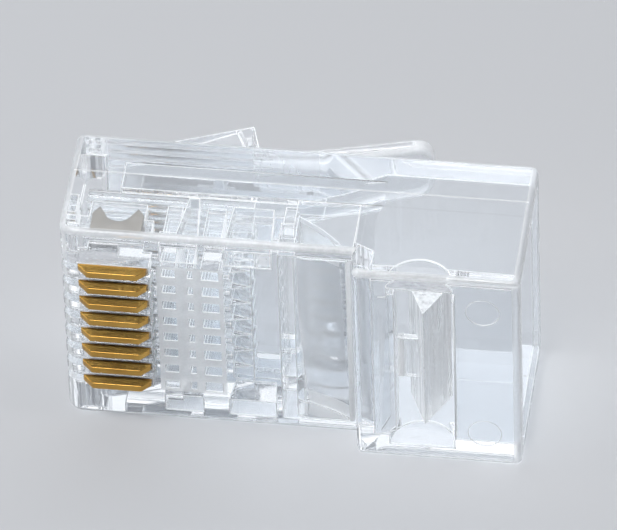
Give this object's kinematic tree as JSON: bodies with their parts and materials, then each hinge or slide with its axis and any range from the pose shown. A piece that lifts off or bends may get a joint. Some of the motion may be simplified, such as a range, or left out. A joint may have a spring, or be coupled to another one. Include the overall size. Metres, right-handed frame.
{
  "type": "rj45 modular plug",
  "caption": "Clear modular plug with gold blade contacts, conductor and cable clamps, a locking lever and an open cable end.",
  "frame": {"origin": "middle of the part's underside, which is a side wall of the plug", "axes": "+X from the nose to the cable end, -Y out of the contact side, +Y out of the latch side, +Z along the width"},
  "size_m": [0.0216, 0.0138, 0.0117],
  "materials": {
    "clear_polycarbonate": "clear, glossy, injection moulded",
    "gold_plate": "stamped copper alloy with bright gold plating"
  },
  "bodies": {
    "housing": {"housing": "clear_polycarbonate"},
    "latch": {"latch_lever": "clear_polycarbonate"},
    "conductor_clamp": {"conductor_clamp_bar": "clear_polycarbonate"},
    "cable_clamp": {"cable_clamp_bar": "clear_polycarbonate"},
    "contact_1": {"contact_1": "gold_plate"},
    "contact_2": {"contact_2": "gold_plate"},
    "contact_3": {"contact_3": "gold_plate"},
    "contact_4": {"contact_4": "gold_plate"},
    "contact_5": {"contact_5": "gold_plate"},
    "contact_6": {"contact_6": "gold_plate"},
    "contact_7": {"contact_7": "gold_plate"},
    "contact_8": {"contact_8": "gold_plate"}
  },
  "joints": [
    {"name": "latch_hinge", "type": "hinge", "parent": "housing", "child": "latch", "pos_m": [-0.00945, 0.00227, 0.00584], "axis": [0, 0, -1], "range_deg": [0, 14], "stiffness_Nm_per_rad": 0.1},
    {"name": "conductor_clamp_hinge", "type": "hinge", "parent": "housing", "child": "conductor_clamp", "pos_m": [0.00255, -0.00528, 0.00584], "axis": [0, 0, -1], "range_deg": [0, 15]},
    {"name": "cable_clamp_hinge", "type": "hinge", "parent": "housing", "child": "cable_clamp", "pos_m": [0.00517, -0.00608, 0.00584], "axis": [0, 0, 1], "range_deg": [0, 35]},
    {"name": "contact_1_crimp", "type": "slide", "parent": "housing", "child": "contact_1", "axis": [0, 1, 0], "range_m": [0, 0.001]},
    {"name": "contact_2_crimp", "type": "slide", "parent": "housing", "child": "contact_2", "axis": [0, 1, 0], "range_m": [0, 0.001]},
    {"name": "contact_3_crimp", "type": "slide", "parent": "housing", "child": "contact_3", "axis": [0, 1, 0], "range_m": [0, 0.001]},
    {"name": "contact_4_crimp", "type": "slide", "parent": "housing", "child": "contact_4", "axis": [0, 1, 0], "range_m": [0, 0.001]},
    {"name": "contact_5_crimp", "type": "slide", "parent": "housing", "child": "contact_5", "axis": [0, 1, 0], "range_m": [0, 0.001]},
    {"name": "contact_6_crimp", "type": "slide", "parent": "housing", "child": "contact_6", "axis": [0, 1, 0], "range_m": [0, 0.001]},
    {"name": "contact_7_crimp", "type": "slide", "parent": "housing", "child": "contact_7", "axis": [0, 1, 0], "range_m": [0, 0.001]},
    {"name": "contact_8_crimp", "type": "slide", "parent": "housing", "child": "contact_8", "axis": [0, 1, 0], "range_m": [0, 0.001]}
  ]
}
